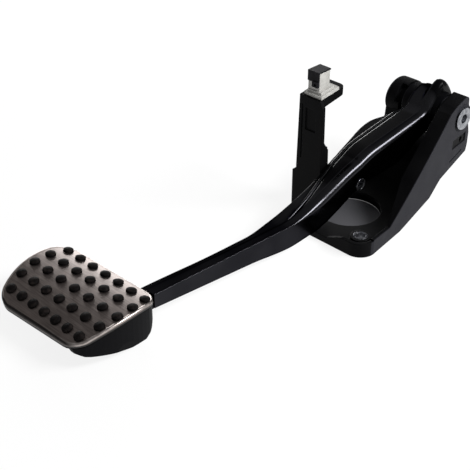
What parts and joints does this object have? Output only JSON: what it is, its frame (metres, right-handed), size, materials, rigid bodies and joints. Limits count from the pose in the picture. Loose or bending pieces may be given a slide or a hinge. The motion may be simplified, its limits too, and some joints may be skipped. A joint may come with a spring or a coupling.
{
  "type": "brake pedal",
  "caption": "Hanging brake pedal: bolted plastic bracket with pushrod opening, swinging arm on a pivot bolt, crowned pad with rubber studs through a metal cover.",
  "frame": {"origin": "centre of the pushrod opening on the flange's mounting face", "axes": "+Z along the pushrod axis into the bracket, pad towards -X, pivot towards +X, pivot axis along Y"},
  "size_m": [0.4218, 0.1566, 0.1292],
  "materials": {
    "bracket_plastic": "satin moulded black glass-filled plastic",
    "arm_paint": "semi-gloss black coating on steel",
    "pad_steel": "satin stainless sheet with polished rolled edge",
    "pad_rubber": "matte black rubber, lightly worn studs",
    "steel_sleeve": "turned steel",
    "zinc_steel": "zinc-plated steel",
    "bush_plastic": "natural bearing plastic",
    "holder_plastic": "white moulded plastic",
    "clip_plastic": "black moulded plastic"
  },
  "bodies": {
    "bracket": {"pedal_bracket": "bracket_plastic", "flange_sleeve_front": "steel_sleeve", "flange_sleeve_rear": "steel_sleeve", "ear_sleeve_right": "steel_sleeve", "ear_sleeve_left": "steel_sleeve", "pivot_bolt": "zinc_steel", "pivot_washer": "zinc_steel", "pivot_nut": "zinc_steel", "pivot_spacer": "zinc_steel", "switch_holder": "holder_plastic", "spring_clip": "clip_plastic"},
    "pedal": {"arm_shell_right": "arm_paint", "arm_shell_left": "arm_paint", "hub_tube": "arm_paint", "pivot_bush_right": "bush_plastic", "pivot_bush_left": "bush_plastic", "pushrod_bush": "zinc_steel", "pedal_foot": "arm_paint", "pad_rubber": "pad_rubber", "pad_cover": "pad_steel"}
  },
  "joints": [
    {"name": "pedal_pivot", "type": "hinge", "parent": "bracket", "child": "pedal", "pos_m": [0.1055, 0, 0.0675], "axis": [0, 1, 0], "range_deg": [0, 20]}
  ]
}
